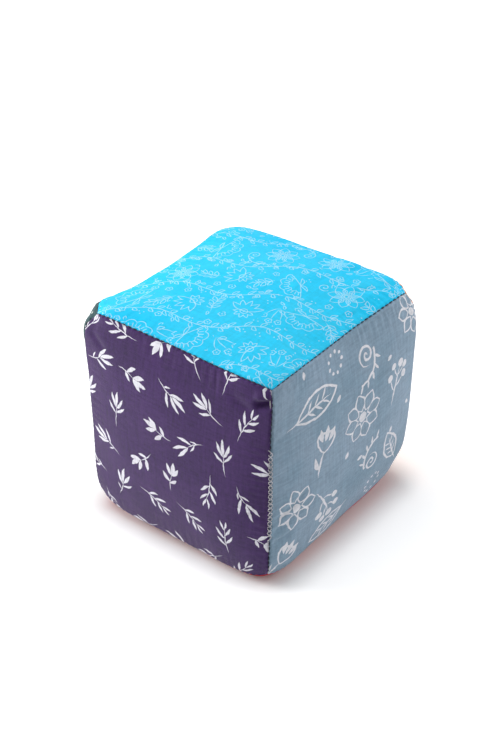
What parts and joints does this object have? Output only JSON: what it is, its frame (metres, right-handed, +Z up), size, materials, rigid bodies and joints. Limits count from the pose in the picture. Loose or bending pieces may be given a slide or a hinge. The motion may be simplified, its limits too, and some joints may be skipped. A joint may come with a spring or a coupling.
{
  "type": "soft fabric block",
  "caption": "Soft toy block: square cotton panels sewn into a cube, stuffed with loose fibre, for a baby to hold, stack and throw.",
  "frame": {"origin": "centre of the base panel's flat contact patch, on the surface that the block stands on", "axes": "+Z up; the front panel faces -Y and the right panel faces +X, with the hand-closed seam on the upright edge between them"},
  "size_m": [0.112, 0.112, 0.11],
  "materials": {
    "top_cloth": "matte plain-weave cotton, turquoise with a pale line print",
    "base_cloth": "matte plain-weave cotton, red",
    "front_cloth": "matte slubby linen, purple with white sprigs",
    "back_cloth": "matte plain-weave cotton, orange",
    "left_cloth": "matte plain-weave cotton, dark green",
    "right_cloth": "matte slubby linen, grey-blue with a pale print",
    "filling_fibre": "loose white polyester fibre",
    "seam_thread": "spun sewing thread, dark navy",
    "closing_thread": "spun sewing thread, pale grey"
  },
  "bodies": {
    "root": {"top_panel": "top_cloth", "base_panel": "base_cloth", "front_panel": "front_cloth", "back_panel": "back_cloth", "left_panel": "left_cloth", "right_panel": "right_cloth", "filling": "filling_fibre", "seam_thread_top_front": "seam_thread", "seam_thread_top_back": "seam_thread", "seam_thread_top_left": "seam_thread", "seam_thread_top_right": "seam_thread", "seam_thread_base_front": "seam_thread", "seam_thread_base_back": "seam_thread", "seam_thread_base_left": "seam_thread", "seam_thread_base_right": "seam_thread", "seam_thread_front_left": "seam_thread", "seam_thread_front_right_lower": "seam_thread", "seam_thread_front_right_upper": "seam_thread", "seam_thread_back_left": "seam_thread", "seam_thread_back_right": "seam_thread", "closing_thread": "closing_thread"}
  },
  "joints": []
}
